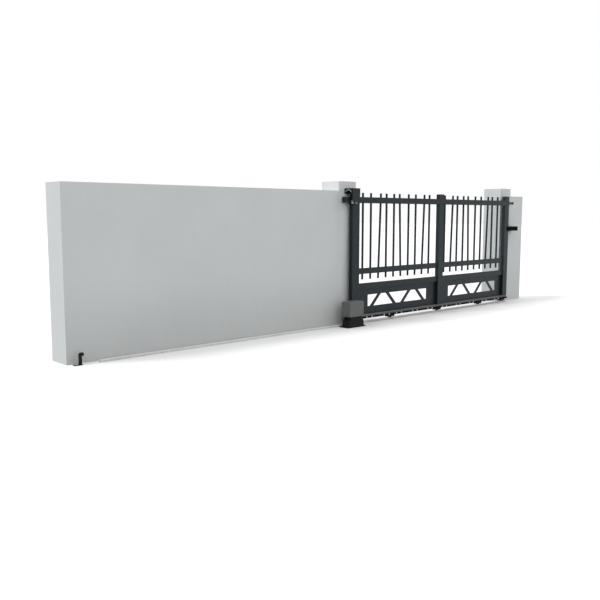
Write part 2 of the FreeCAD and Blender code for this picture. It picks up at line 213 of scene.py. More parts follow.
# camera at the photograph's place
cameraView = {"place": (-6.880, -6.623, 1.417), "down": 6.6578, "turn": 43.0748, "lens": 43.36, "sensor": 36,
              "farEnd": 300}
clearPick()
bpy.ops.object.camera_add(
    location=cameraView["place"],
    rotation=(math.radians(90 - cameraView["down"]), 0, -math.radians(cameraView["turn"])))
camera = bpy.context.object
camera.data.lens = cameraView["lens"]
camera.data.sensor_width = cameraView["sensor"]
camera.data.clip_end = cameraView["farEnd"]
scene.camera = camera

# light: a soft sun from behind the wall and a white room
studio = {"toSun": (-0.6, 0.29, 1.0), "sun": 1.05, "sunSpread": 14, "room": 0.90, "floor": 0.33,
          "floorSize": 200, "floorDown": 0.001}
clearPick()
bpy.ops.object.light_add(type="SUN", rotation=Vector(studio["toSun"]).to_track_quat("Z", "Y").to_euler())
sun = bpy.context.object
sun.data.energy = studio["sun"]
sun.data.angle = math.radians(studio["sunSpread"])


def wire(tree, kind, sockets=None, **settings):
    made = tree.nodes.new(kind)
    for key, value in settings.items():
        setattr(made, key, value)
    for key, value in (sockets or {}).items():
        if isinstance(value, bpy.types.NodeSocket):
            tree.links.new(value, made.inputs[key])
        else:
            made.inputs[key].default_value = value
    return made


def mathNode(tree, operation, first, second, clamp=False):
    made = wire(tree, "ShaderNodeMath", {0: first, 1: second}, operation=operation, use_clamp=clamp)
    return made.outputs[0]


def spread(tree, value, fromLow, fromHigh, toLow=0, toHigh=1):
    made = wire(tree, "ShaderNodeMapRange", {
        "Value": value, "From Min": fromLow, "From Max": fromHigh, "To Min": toLow, "To Max": toHigh})
    return made.outputs[0]


def blendColour(tree, factor, first, second):
    made = wire(tree, "ShaderNodeMixRGB", {"Fac": factor, "Color1": first, "Color2": second})
    return made.outputs[0]


def opaque(colour):
    return tuple(colour) + (1,)


def seenDirectly(tree):
    rays = wire(tree, "ShaderNodeLightPath").outputs
    seen = mathNode(tree, "ADD", rays["Is Camera Ray"], rays["Is Glossy Ray"], True)
    return mathNode(tree, "ADD", seen, rays["Is Transmission Ray"], True)


scene.world = bpy.data.worlds.new("whiteRoom")
scene.world.use_nodes = True
roomTree = scene.world.node_tree
roomTree.nodes.clear()
strength = spread(roomTree, seenDirectly(roomTree), 0, 1, studio["room"], 1)
room = wire(roomTree, "ShaderNodeBackground", {"Color": (1, 1, 1, 1), "Strength": strength})
wire(roomTree, "ShaderNodeOutputWorld", {"Surface": room.outputs[0]})

clearPick()
bpy.ops.mesh.primitive_plane_add(size=studio["floorSize"], location=(0, 0, -studio["floorDown"]))
floor = settle(bpy.context.object)
floor.name = "paleFloor"
floorPaint = bpy.data.materials.new("paleFloor")
floorPaint.use_nodes = True
floorTree = floorPaint.node_tree
floorTree.nodes.clear()
matte = wire(floorTree, "ShaderNodeBsdfDiffuse", {
    "Color": blendColour(floorTree, seenDirectly(floorTree), opaque([studio["floor"]] * 3), (1, 1, 1, 1))})
wire(floorTree, "ShaderNodeOutputMaterial", {"Surface": matte.outputs[0]})
floor.data.materials.append(floorPaint)
print("camera, light and floor set")


# shared surface effects
def newGroup(name, inputs, outputs):
    group = bpy.data.node_groups.new(name, "ShaderNodeTree")
    for label, start in inputs.items():
        socket = group.interface.new_socket(label, in_out="INPUT", socket_type="NodeSocketFloat")
        socket.default_value = start
    for label in outputs:
        group.interface.new_socket(label, in_out="OUTPUT", socket_type="NodeSocketFloat")
    return group, group.nodes.new("NodeGroupInput").outputs, group.nodes.new("NodeGroupOutput").inputs


def objectPlace(tree):
    return wire(tree, "ShaderNodeTexCoord").outputs["Object"]


def noise(tree, place, scale, detail, roughness):
    made = wire(tree, "ShaderNodeTexNoise", {
        "Vector": place, "Scale": scale, "Detail": detail, "Roughness": roughness})
    return made.outputs[0]


grainGroup, given, result = newGroup("fineGrain", {"Fineness": 300, "Patch Size": 4}, ("Grain", "Patches"))
fine = noise(grainGroup, objectPlace(grainGroup), given["Fineness"], detail=4, roughness=0.65)
patch = noise(grainGroup, objectPlace(grainGroup), given["Patch Size"], detail=5, roughness=0.6)
grainGroup.links.new(spread(grainGroup, fine, 0.3, 0.7), result["Grain"])
grainGroup.links.new(spread(grainGroup, patch, 0.3, 0.7), result["Patches"])

# darker towards the foot: dust on the coats and zinc, painted shade on the plaster
dustAndShadeGroup, given, result = newGroup("footDustAndShade", {"Reach": 0.4, "Amount": 0.5, "Evenness": 0.2}, ("DustAndShade",))
heightOf = wire(dustAndShadeGroup, "ShaderNodeSeparateXYZ", {"Vector": objectPlace(dustAndShadeGroup)}).outputs["Z"]
fall = wire(dustAndShadeGroup, "ShaderNodeMapRange", {
    "Value": heightOf, "From Min": 0, "From Max": given["Reach"], "To Min": 1, "To Max": 0},
    interpolation_type="SMOOTHSTEP").outputs[0]
clouds = noise(dustAndShadeGroup, objectPlace(dustAndShadeGroup), scale=11, detail=6, roughness=0.65)
settledDustAndShade = mathNode(dustAndShadeGroup, "MULTIPLY", fall, spread(dustAndShadeGroup, clouds, 0.3, 0.7, given["Evenness"], 1))
dustAndShadeGroup.links.new(mathNode(dustAndShadeGroup, "MULTIPLY", settledDustAndShade, given["Amount"], True), result["DustAndShade"])

runsGroup, given, result = newGroup("rainRuns", {"Closeness": 14, "Amount": 0.3}, ("Runs",))
stretch = wire(runsGroup, "ShaderNodeMapping", {"Vector": objectPlace(runsGroup), "Scale": (1, 1, 0.05)})
stripes = noise(runsGroup, stretch.outputs[0], given["Closeness"], detail=4, roughness=0.6)
streaks = spread(runsGroup, stripes, 0.5, 0.75)
runsGroup.links.new(mathNode(runsGroup, "MULTIPLY", streaks, given["Amount"], True), result["Runs"])

wearGroup, given, result = newGroup("edgeWear", {"Width": 0.002, "Amount": 0.5}, ("Wear",))
roundNormal = wire(wearGroup, "ShaderNodeBevel", {"Radius": given["Width"]}, samples=4).outputs[0]
flatNormal = wire(wearGroup, "ShaderNodeNewGeometry").outputs["Normal"]
agree = wire(wearGroup, "ShaderNodeVectorMath", {0: roundNormal, 1: flatNormal}, operation="DOT_PRODUCT")
edge = spread(wearGroup, agree.outputs[1], 0.98, 0.8)
chips = noise(wearGroup, objectPlace(wearGroup), scale=90, detail=5, roughness=0.7)
rubbed = mathNode(wearGroup, "MULTIPLY", edge, spread(wearGroup, chips, 0.4, 0.65))
wearGroup.links.new(mathNode(wearGroup, "MULTIPLY", rubbed, given["Amount"], True), result["Wear"])

spangleGroup, given, result = newGroup("zincSpangle", {"Closeness": 60}, ("Flakes", "Bloom"))
cells = wire(spangleGroup, "ShaderNodeTexVoronoi", {
    "Vector": objectPlace(spangleGroup), "Scale": given["Closeness"]}).outputs["Color"]
flake = wire(spangleGroup, "ShaderNodeSeparateColor", {0: cells}).outputs[0]
bloom = noise(spangleGroup, objectPlace(spangleGroup), scale=7, detail=6, roughness=0.7)
spangleGroup.links.new(flake, result["Flakes"])
spangleGroup.links.new(spread(spangleGroup, bloom, 0.35, 0.65), result["Bloom"])


def useGroup(tree, group, **values):
    made = tree.nodes.new("ShaderNodeGroup")
    made.node_tree = group
    for key, value in values.items():
        made.inputs[key.replace("_", " ")].default_value = value
    return made.outputs


def newFinish(name):
    finish = bpy.data.materials.new(name)
    finish.use_nodes = True
    tree = finish.node_tree
    tree.nodes.clear()
    shader = wire(tree, "ShaderNodeBsdfPrincipled")
    wire(tree, "ShaderNodeOutputMaterial", {"Surface": shader.outputs[0]})
    return finish, tree, shader


def bumpInto(tree, shader, height, strength, distance):
    made = wire(tree, "ShaderNodeBump", {"Height": height, "Strength": strength, "Distance": distance})
    tree.links.new(made.outputs[0], shader.inputs["Normal"])


# white plaster with grain, faint patches, rain runs, and a foot greyed with painted shade on the faces
# turned front and back; the grime colour serves both the runs and the painted foot shade
plaster = {"white": (0.790, 0.822, 0.824), "shade": (0.758, 0.787, 0.789), "grimeAndShade": (0.42, 0.425, 0.42),
           "fineness": 260, "patch": 1.7, "speckle": 0.09, "speckleDark": 0.35, "shine": 0.2,
           "roughness": 0.88, "roughSpread": 0.06, "bump": 0.35, "bumpHigh": 0.002,
           "footShadeReach": 0.85, "footShadeEven": 0.8, "runsClose": 9, "runs": 0.03}


def plasterFinish(name, footShade):
    finish, tree, shader = newFinish(name)
    grain = useGroup(tree, grainGroup, Fineness=plaster["fineness"], Patch_Size=plaster["patch"])
    dustAndShade = useGroup(tree, dustAndShadeGroup, Reach=plaster["footShadeReach"], Amount=footShade,
                    Evenness=plaster["footShadeEven"])
    runs = useGroup(tree, runsGroup, Closeness=plaster["runsClose"], Amount=plaster["runs"])
    # painted shade: the foot darkens only on faces turned along Y, not on the wall ends
    facing = wire(tree, "ShaderNodeSeparateXYZ", {
        "Vector": wire(tree, "ShaderNodeNewGeometry").outputs["Normal"]}).outputs["Y"]
    footShadeMask = mathNode(tree, "MULTIPLY", dustAndShade["DustAndShade"], mathNode(tree, "ABSOLUTE", facing, 0))
    mottled = blendColour(tree, grain["Patches"], opaque(plaster["shade"]), opaque(plaster["white"]))
    specks = spread(tree, grain["Grain"], 0, 1, plaster["speckleDark"], 1)
    speckled = blendColour(tree, plaster["speckle"], mottled, specks)
    streaked = blendColour(tree, runs["Runs"], speckled, opaque(plaster["grimeAndShade"]))
    withFootShade = blendColour(tree, footShadeMask, streaked, opaque(plaster["grimeAndShade"]))
    tree.links.new(withFootShade, shader.inputs["Base Color"])
    shader.inputs["Specular IOR Level"].default_value = plaster["shine"]
    smoothest, roughest = [plaster["roughness"] + sign * plaster["roughSpread"] for sign in (-1, 1)]
    tree.links.new(spread(tree, grain["Grain"], 0, 1, smoothest, roughest), shader.inputs["Roughness"])
    bumpInto(tree, shader, grain["Grain"], plaster["bump"], plaster["bumpHigh"])
    return finish


# painted shade at the foot: strong on the left wall and pillar, faint on the right
footShadedPlaster = plasterFinish("whitePlasterFootShaded", footShade=0.34)
faintFootShadePlaster = plasterFinish("whitePlaster", footShade=0.06)

# painted, moulded and rubber finishes share one recipe
coat = {"patch": 5, "edgeWide": 0.0025, "runsClose": 30, "runs": 0.12, "darker": 0.86, "lighter": 1.14,
        "runTone": 1.6, "runLift": 0.01, "dustAndShade": (0.30, 0.28, 0.25), "dustRough": 0.4, "smoother": 0.05,
        "rougher": 0.06, "bumpHigh": 0.0006}


def coatedFinish(name, tone, worn, roughness, fineness, bump, dustReach, dustAmount, wear, shine=0.5,
                 tint=(1, 1, 1)):
    finish, tree, shader = newFinish(name)
    grain = useGroup(tree, grainGroup, Fineness=fineness, Patch_Size=coat["patch"])
    dustAndShade = useGroup(tree, dustAndShadeGroup, Reach=dustReach, Amount=dustAmount)
    edges = useGroup(tree, wearGroup, Width=coat["edgeWide"], Amount=wear)
    runs = useGroup(tree, runsGroup, Closeness=coat["runsClose"], Amount=coat["runs"])
    dark = [coat["darker"] * part for part in tone]
    light = [coat["lighter"] * part for part in tone]
    washed = [coat["runTone"] * part + coat["runLift"] for part in tone]
    base = blendColour(tree, grain["Patches"], opaque(dark), opaque(light))
    base = blendColour(tree, runs["Runs"], base, opaque(washed))
    base = blendColour(tree, edges["Wear"], base, opaque(worn))
    base = blendColour(tree, dustAndShade["DustAndShade"], base, opaque(coat["dustAndShade"]))
    tree.links.new(base, shader.inputs["Base Color"])
    shader.inputs["Specular IOR Level"].default_value = shine
    shader.inputs["Specular Tint"].default_value = opaque(tint)
    rough = spread(tree, grain["Patches"], 0, 1, roughness - coat["smoother"], roughness + coat["rougher"])
    dusty = mathNode(tree, "MULTIPLY", dustAndShade["DustAndShade"], coat["dustRough"])
    tree.links.new(mathNode(tree, "ADD", rough, dusty, True), shader.inputs["Roughness"])
    bumpInto(tree, shader, grain["Grain"], bump, coat["bumpHigh"])
    return finish


anthraciteFinish = coatedFinish(
    "anthracitePaint", tone=(0.0090, 0.0140, 0.0168), worn=(0.08, 0.085, 0.088), roughness=0.42,
    fineness=420, bump=0.12, dustReach=0.35, dustAmount=0.03, wear=0.5, shine=0.29, tint=(0.82, 0.95, 1.0))
blackSteelFinish = coatedFinish(
    "blackSteel", tone=(0.0030, 0.0030, 0.0034), worn=(0.08, 0.076, 0.072), roughness=0.52, fineness=380,
    bump=0.15, dustReach=0.25, dustAmount=0.03, wear=0.4, shine=0.16)
blackNylonFinish = coatedFinish(
    "blackNylon", tone=(0.0022, 0.0022, 0.0025), worn=(0.02, 0.02, 0.02), roughness=0.65, fineness=500,
    bump=0.2, dustReach=0.20, dustAmount=0.01, wear=0.3, shine=0.05)
keeperFinish = coatedFinish(
    "keeperBlack", tone=(0.0016, 0.0016, 0.0019), worn=(0.02, 0.02, 0.02), roughness=0.60, fineness=380,
    bump=0.15, dustReach=0.25, dustAmount=0.0, wear=0.3, shine=0.03)
whiteNylonFinish = coatedFinish(
    "whiteNylon", tone=(0.37, 0.37, 0.355), worn=(0.45, 0.45, 0.43), roughness=0.45, fineness=500,
    bump=0.1, dustReach=0.2, dustAmount=0.0, wear=0.3)
coverFinish = coatedFinish(
    "coverGrey", tone=(0.118, 0.120, 0.122), worn=(0.22, 0.22, 0.22), roughness=0.52, fineness=650,
    bump=0.35, dustReach=0.30, dustAmount=0.05, wear=0.4, shine=0.62)
baseFinish = coatedFinish(
    "baseGrey", tone=(0.0040, 0.0040, 0.0046), worn=(0.03, 0.03, 0.03), roughness=0.60, fineness=600,
    bump=0.35, dustReach=0.12, dustAmount=0.04, wear=0.3, shine=0.18)
rubberFinish = coatedFinish(
    "blackRubber", tone=(0.010, 0.010, 0.010), worn=(0.03, 0.03, 0.03), roughness=0.75, fineness=300,
    bump=0.3, dustReach=0.2, dustAmount=0.06, wear=0.2, shine=0.3)

# zinc finishes: hot dipped on the rail, pale on the track with painted light, bright on bolts
zincCoat = {"dustReach": 0.15, "edgeWide": 0.002, "edgeWear": 0.5, "bloom": 0.35, "bloomTone": 0.8,
            "wornTone": 1.5, "dustAndShade": (0.24, 0.22, 0.19), "roughSpread": 0.07, "bump": 0.08,
            "bumpHigh": 0.001}


def zincFinish(name, dull, bright, closeness, roughness, metallic, dustAmount):
    finish, tree, shader = newFinish(name)
    zinc = useGroup(tree, spangleGroup, Closeness=closeness)
    dustAndShade = useGroup(tree, dustAndShadeGroup, Reach=zincCoat["dustReach"], Amount=dustAmount)
    edges = useGroup(tree, wearGroup, Width=zincCoat["edgeWide"], Amount=zincCoat["edgeWear"])
    bloomed = [zincCoat["bloomTone"] * part for part in dull]
    worn = [min(1, zincCoat["wornTone"] * part) for part in bright]
    base = blendColour(tree, zinc["Flakes"], opaque(dull), opaque(bright))
    cloudy = mathNode(tree, "MULTIPLY", zinc["Bloom"], zincCoat["bloom"])
    base = blendColour(tree, cloudy, base, opaque(bloomed))
    base = blendColour(tree, edges["Wear"], base, opaque(worn))
    base = blendColour(tree, dustAndShade["DustAndShade"], base, opaque(zincCoat["dustAndShade"]))
    tree.links.new(base, shader.inputs["Base Color"])
    shader.inputs["Metallic"].default_value = metallic
    smoothest, roughest = [roughness + sign * zincCoat["roughSpread"] for sign in (-1, 1)]
    tree.links.new(spread(tree, zinc["Flakes"], 0, 1, smoothest, roughest), shader.inputs["Roughness"])
    bumpInto(tree, shader, zinc["Bloom"], zincCoat["bump"], zincCoat["bumpHigh"])
    return finish


galvanisedFinish = zincFinish(
    "galvanised", dull=(0.135, 0.138, 0.143), bright=(0.180, 0.184, 0.190), closeness=70, roughness=0.5,
    metallic=0.6, dustAmount=0.10)
# the track is zinc made pale and not metal: painted light that keeps it bright in the leaf's shadow
trackPaintedLightZinc = zincFinish(
    "trackZincPaintedLight", dull=(0.78, 0.78, 0.775), bright=(0.86, 0.86, 0.855), closeness=90, roughness=0.5,
    metallic=0.0, dustAmount=0.02)
steelFinish = zincFinish(
    "zincedSteel", dull=(0.40, 0.40, 0.40), bright=(0.55, 0.55, 0.54), closeness=160, roughness=0.4,
    metallic=0.8, dustAmount=0.1)
print("finishes made")

# plastered walls and pillars: arrises rounded where they are free, flush where they join
masonry = {"arris": 0.002, "steps": 3, "near": 1e-4, "taller": 0.01,
           "joins": {"left_wall": "left_pillar", "left_pillar": "left_wall",
                     "right_pillar": "right_wall", "right_wall": "right_pillar"}}
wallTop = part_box("left_wall")[1].z
for node, beside in masonry["joins"].items():
    low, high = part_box(node)
    joint = low.x if abs(low.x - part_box(beside)[1].x) < masonry["near"] else high.x
    isPillar = high.z > wallTop + masonry["taller"]
    block = addBlock(low, high)
    if isPillar:
        splitAt(block, wallTop)

    def isFree(edge):
        highest = max(v.co.z for v in edge.verts)
        if bothAt(edge, 2, 0) or (bothAt(edge, 2, wallTop) and isPillar):
            return False
        return not (bothAt(edge, 0, joint) and highest < wallTop + masonry["near"])

    bevelEdges(block, isFree, masonry["arris"], masonry["steps"])
    plasterCoat = footShadedPlaster if node.startswith("left") else faintFootShadePlaster
    ready(block, node + "Plaster", "posts", "render", plasterCoat, node)
print("masonry plastered")

# leaf frame of rounded box tubes with capped ends and weld beads
tubes = {"corner": 0.003, "steps": 3, "capRim": 0.0012, "capStep": 0.0008, "bead": 0.0018, "beadHigh": 0.005,
         "beadRound": 0.8, "beadSteps": 3}


def boxTube(low, high, axis):
    tube = addBlock(low, high)
    bevelEdges(tube, lambda edge: runsAlong(edge, axis), tubes["corner"], tubes["steps"])
    openEdit(tube, "FACE", lambda face: endsAxis(face, axis))
    insetEach(tubes["capRim"])
    insetEach(tubes["capStep"], -tubes["capStep"])
    closeEdit()
    return tube


def weldBead(low, high, axis, place, side):
    beadLow, beadHigh = Vector(low), Vector(high)
    for other in range(3):
        if other != axis:
            beadLow[other] -= tubes["bead"]
            beadHigh[other] += tubes["bead"]
    beadLow[axis], beadHigh[axis] = sorted((place, place + side * tubes["beadHigh"]))
    return softBlock(beadLow, beadHigh, tubes["bead"] * tubes["beadRound"], tubes["beadSteps"])


def weldedTube(low, high, axis):
    return [boxTube(low, high, axis), weldBead(low, high, axis, low[axis], 1),
            weldBead(low, high, axis, high[axis], -1)]


stileBoxes = {name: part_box(name) for name in ("left_stile", "middle_stile", "right_stile")}
railLow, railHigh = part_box("top_rail")
for name, (low, high) in stileBoxes.items():
    ready(join(weldedTube(low, high, 2)), name + "Tube", "leaf", "anthracite", anthraciteFinish, name)
headLow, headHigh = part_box("stile_heads")
heads = []
for low, high in stileBoxes.values():
    low, high = Vector((low.x, low.y, headLow.z)), Vector((high.x, high.y, headHigh.z))
    heads += [boxTube(low, high, 2), weldBead(low, high, 2, low.z, 1)]
ready(join(heads), "stileHeadTubes", "leaf", "anthracite", anthraciteFinish, "stile_heads")
ready(boxTube(railLow, railHigh, 0), "topRailTube", "leaf", "anthracite", anthraciteFinish, "top_rail")

leftBay = (stileBoxes["left_stile"][1].x, stileBoxes["middle_stile"][0].x)
rightBay = (stileBoxes["middle_stile"][1].x, stileBoxes["right_stile"][0].x)
for node, name in (("middle_rails", "middleRailTubes"), ("panel_rails", "panelRailTubes")):
    low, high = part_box(node)
    parts = []
    for bay in (leftBay, rightBay):
        parts += weldedTube(Vector((bay[0], low.y, low.z)), Vector((bay[1], high.y, high.z)), 0)
    ready(join(parts), name, "leaf", "anthracite", anthraciteFinish, node)
print("leaf frame built")

# round bars through the rails, three leaning in each bay
bars = {"count": 10, "lean": 0.041, "radius": 0.0144, "sides": 24, "endRound": 0.002, "endSteps": 3,
        "sharp": 60, "collar": 0.0172, "collarHalf": 0.002, "collarSides": 16, "collarRound": 0.0014,
        "left_bars": {"first": 0.0965, "last": 0.195, "leans": {2: 1, 5: -1, 8: 1}},
        "right_bars": {"first": 0.0615, "last": 0.173, "leans": {1: 1, 4: -1, 7: 1}}}
collarHalf = Vector((0, 0, bars["collarHalf"]))
middleLow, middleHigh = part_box("middle_rails")
for node, bay in (("left_bars", leftBay), ("right_bars", rightBay)):
    low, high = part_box(node)
    row = bars[node]
    barY = (low.y + high.y) / 2
    pitch = (bay[1] - bay[0] - row["first"] - row["last"]) / (bars["count"] - 1)
    parts = []
    for number in range(bars["count"]):
        foot = Vector((bay[0] + row["first"] + number * pitch, barY, low.z))
        head = Vector((foot.x + bars["lean"] * row["leans"].get(number, 0), barY, high.z))
        bar = addRod(foot, head, bars["radius"], bars["sides"])
        parts.append(soften(bar, bars["endRound"], bars["endSteps"], bars["sharp"]))
        for level in (middleLow.z, middleHigh.z, railLow.z, railHigh.z):
            along = (level - low.z) / (high.z - low.z)
            middle = foot.lerp(head, along)
            collar = addRod(middle - collarHalf, middle + collarHalf, bars["collar"], bars["collarSides"])
            parts.append(soften(collar, bars["collarRound"], 1, bars["sharp"]))
    ready(join(parts), node + "Round", "leaf", "anthracite", anthraciteFinish, node)
print("bars set")

# kick panels with a long cut-out, and the slats behind it
kick = {"bottom": 0.211, "high": 0.154, "corner": 0.007, "cornerSteps": 4, "lip": 0.0012, "clear": 0.02,
        "left_kick_panel": {"start": 0.220, "end": 0.2235},
        "right_kick_panel": {"start": 0.1995, "end": 0.180},
        "slats": 4, "slatWide": 0.050, "slatEdge": 0.0015, "lap": 0.0265, "angle": 45, "spread": 1.013}
for node, slatNode, bay in (("left_kick_panel", "left_panel_slats", leftBay),
                            ("right_kick_panel", "right_panel_slats", rightBay)):
    low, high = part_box(node)
    holeLow = Vector((bay[0] + kick[node]["start"], low.y - kick["clear"], kick["bottom"]))
    holeHigh = Vector((bay[1] - kick[node]["end"], high.y + kick["clear"], kick["bottom"] + kick["high"]))
    cutter = addBlock(holeLow, holeHigh)
    bevelEdges(cutter, lambda edge: runsAlong(edge, 1), kick["corner"], kick["cornerSteps"])
    sheet = soften(cutBy(addBlock(low, high), cutter), kick["lip"])
    ready(sheet, node + "Sheet", "leaf", "anthracite", anthraciteFinish, node)
    slatLow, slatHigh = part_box(slatNode)
    step = kick["spread"] * (holeHigh.x - holeLow.x) / kick["slats"]
    wide = kick["slatWide"] / 2
    half = kick["high"] / 2 / math.cos(math.radians(kick["angle"])) + kick["lap"]
    slats = []
    for number in range(kick["slats"]):
        slat = softBlock((-wide, slatLow.y, -half), (wide, slatHigh.y, half), kick["slatEdge"])
        slat.rotation_euler = (0, math.radians(kick["angle"] if number % 2 == 0 else -kick["angle"]), 0)
        slat.location = (holeLow.x + (number + 0.5) * step, 0, kick["bottom"] + kick["high"] / 2)
        slats.append(settle(slat))
    ready(join(slats), slatNode + "Flats", "leaf", "anthracite", anthraciteFinish, slatNode)
print("kick panels built")

# galvanised channel under the leaf
channel = {"wall": 0.004, "corner": 0.004, "cornerSteps": 3, "edge": 0.0008}
low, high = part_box("bottom_rail")
trough = addBlock(low, high)
bevelEdges(trough, lambda edge: runsAlong(edge, 0) and bothAt(edge, 2, high.z), channel["corner"],
           channel["cornerSteps"])
openEdit(trough, "FACE", lambda face: facesTo(face, 2, -1))
bpy.ops.mesh.inset(thickness=channel["wall"], depth=0)
extrudeBy(0, 0, high.z - low.z - channel["wall"])
closeEdit()
soften(trough, channel["edge"], 1)
ready(trough, "bottomChannel", "leaf", "galvanised", galvanisedFinish, "bottom_rail")

# one hex bolt on its washer, copied where bolts go
boltShape = {"chamfer": 0.18, "sharp": 60, "washerSunk": 0.0002, "washerHigh": 0.0016, "washerSides": 20,
             "washerEdge": 0.0005}


def hexBolt(across, high, washer):
    shaft = addRod((0, 0, 0), (0, 0, high), across / math.sqrt(3), 6)
    soften(shaft, high * boltShape["chamfer"], 1, boltShape["sharp"])
    disc = addRod((0, 0, -boltShape["washerSunk"]), (0, 0, boltShape["washerHigh"]), washer,
                  boltShape["washerSides"])
    return join([shaft, soften(disc, boltShape["washerEdge"], 1, boltShape["sharp"])])


boltMaster = hexBolt(across=0.017, high=0.0075, washer=0.0135)
smallBolt = hexBolt(across=0.010, high=0.005, washer=0.0085)

# wheels turned with a V groove, dished sides and a hub
wheels = {"count": 5, "sides": 64, "grooveTo": 0.75, "rim": 0.009, "dish": 0.003, "dishWall": 0.002,
          "web": 0.014, "edge": 0.0007, "sharp": 25}
wheelNodes = ["wheel_%d" % number for number in range(1, wheels["count"] + 1)]
for node in wheelNodes:
    low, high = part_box(node)
    centre = boxMiddle(node)
    radius = (high.z - low.z) / 2
    wheel = addRod((centre.x, low.y, centre.z), (centre.x, high.y, centre.z), radius, wheels["sides"])
    openEdit(wheel, "FACE", lambda face: endsAxis(face, 1))
    insetEach(wheels["rim"])
    insetEach(wheels["dishWall"], -wheels["dish"])
    insetEach(wheels["web"])
    insetEach(wheels["dishWall"], wheels["dish"])
    closeEdit()
    openEdit(wheel, "FACE", lambda face: flanksAxis(face, 1))
    bpy.ops.mesh.bisect(plane_co=centre, plane_no=(0, 1, 0))
    closeEdit()
    openEdit(wheel, "EDGE", lambda edge: bothAt(edge, 1, centre.y))
    bpy.ops.transform.resize(value=(wheels["grooveTo"], 1, wheels["grooveTo"]), center_override=centre)
    closeEdit()
    soften(wheel, wheels["edge"], 2, wheels["sharp"])
    ready(wheel, node.replace("_", "") + "Turned", node, "black_steel", blackSteelFinish, node)

# wheel carriages: two rounded cheeks, an axle and its nuts
carriage = {"length": 0.150, "cheek": 0.004, "corner": 0.018, "cornerSteps": 5, "edge": 0.0008,
            "axle": 0.007, "axleIn": 0.001, "axleEdge": 0.001}
low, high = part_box("wheel_carriages")
halfLength = carriage["length"] / 2
cheeks = []
for node in wheelNodes:
    centre = boxMiddle(node)
    for sideY in (low.y, high.y - carriage["cheek"]):
        cheek = addBlock((centre.x - halfLength, sideY, low.z),
                         (centre.x + halfLength, sideY + carriage["cheek"], high.z))
        bevelEdges(cheek, lambda edge: runsAlong(edge, 1) and bothAt(edge, 2, low.z), carriage["corner"],
                   carriage["cornerSteps"])
        cheeks.append(soften(cheek, carriage["edge"], 1))
    axle = addRod((centre.x, low.y + carriage["axleIn"], centre.z),
                  (centre.x, high.y - carriage["axleIn"], centre.z), carriage["axle"])
    cheeks.append(soften(axle, carriage["axleEdge"], 1))
    for side in (-1, 1):
        inner = centre.y + side * ((high.y - low.y) / 2 - carriage["cheek"])
        cheeks.append(copyTo(smallBolt, (centre.x, inner, centre.z), (0, -side, 0)))
ready(join(cheeks), "wheelCarriages", "leaf", "black_steel", blackSteelFinish, "wheel_carriages")
print("wheels and carriages built")

# ground track: round rod on a flat, screwed down
track = {"rod": 0.010, "rodSides": 28, "rodEdge": 0.002, "sharp": 60, "flat": 0.005, "flatEdge": 0.0012,
         "seat": 0.001, "firstScrew": 0.08, "pitch": 0.62, "screwOff": 0.0175}
low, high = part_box("ground_track")
trackY = (low.y + high.y) / 2
flat = softBlock(low, (high.x, high.y, track["flat"]), track["flatEdge"])
rodZ = track["flat"] - track["seat"] + track["rod"]
rod = addRod((low.x, trackY, rodZ), (high.x, trackY, rodZ), track["rod"], track["rodSides"])
soften(rod, track["rodEdge"], 2, track["sharp"])
ready(join([flat, rod]), "trackRail", "posts", "galvanised", trackPaintedLightZinc, "ground_track")
screws = []
place, side = low.x + track["firstScrew"], 1
while place < high.x:
    screws.append(copyTo(smallBolt, (place, trackY + side * track["screwOff"], track["flat"])))
    place, side = place + track["pitch"], -side
ready(join(screws), "trackScrews", "posts", "steel", steelFinish)

# bolts that hold the rack, in two runs of pairs: where a run starts, and how many pairs it has
rackBolts = {"apart": 0.105, "pitch": 0.3545, "down": 0.0075, "runs": ((-0.085, 3), (0.886, 8))}
rackLow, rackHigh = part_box("rack_1")
heads = []
for start, pairs in rackBolts["runs"]:
    for number in range(pairs):
        place = start + number * rackBolts["pitch"]
        for boltX in (place, place + rackBolts["apart"]):
            boltPlace = (boltX, rackLow.y, rackHigh.z - rackBolts["down"])
            heads.append(copyTo(boltMaster, boltPlace, (0, -1, 0)))
ready(join(heads), "rackBolts", "leaf", "steel", steelFinish)

# bolts that hold the carriages to the channel
carriageBolts = {"across": 0.050, "down": 0.017}
low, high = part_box("bottom_rail")
heads = []
for node in wheelNodes:
    middleX = boxMiddle(node).x
    for shift in (-carriageBolts["across"], carriageBolts["across"]):
        for sideY, outward in ((low.y, -1), (high.y, 1)):
            boltPlace = (middleX + shift, sideY, high.z - carriageBolts["down"])
            heads.append(copyTo(boltMaster, boltPlace, (0, outward, 0)))
ready(join(heads), "carriageBolts", "leaf", "galvanised", galvanisedFinish)
print("track and bolts set")

# drive unit: cover with a round-edged lid and a seam, dark flared base and its plate
# a step of the skirt is its share of the depth and its share of the flare
drive = {"corner": 0.008, "lid": 0.016, "lidSteps": 6, "seamUp": 0.016, "seamHigh": 0.003, "seamDeep": 0.002,
         "baseCorner": 0.018, "baseEdge": 0.0012, "baseSharp": 50, "cornerSteps": 5,
         "left": 0.060, "right": 0.017, "front": 0.020, "back": 0.014,
         "plateCorner": 0.024, "plateSteps": 6, "plateEdge": 0.0015,
         "skirt": ((0.03, 0), (0.09, 0.16), (0.18, 0.36), (0.28, 0.51), (0.44, 0.66), (0.64, 0.77),
                   (0.85, 0.83), (0.92, 0.87), (0.97, 0.93), (1, 1))}
low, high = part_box("drive_cover")
middle = (low + high) / 2
size = high - low
cover = addBlock(low, (high.x, high.y, high.z - drive["lid"]))
bevelEdges(cover, lambda edge: runsAlong(edge, 2), drive["corner"], drive["cornerSteps"])
openEdit(cover, "FACE", lambda face: facesTo(face, 2, 1))
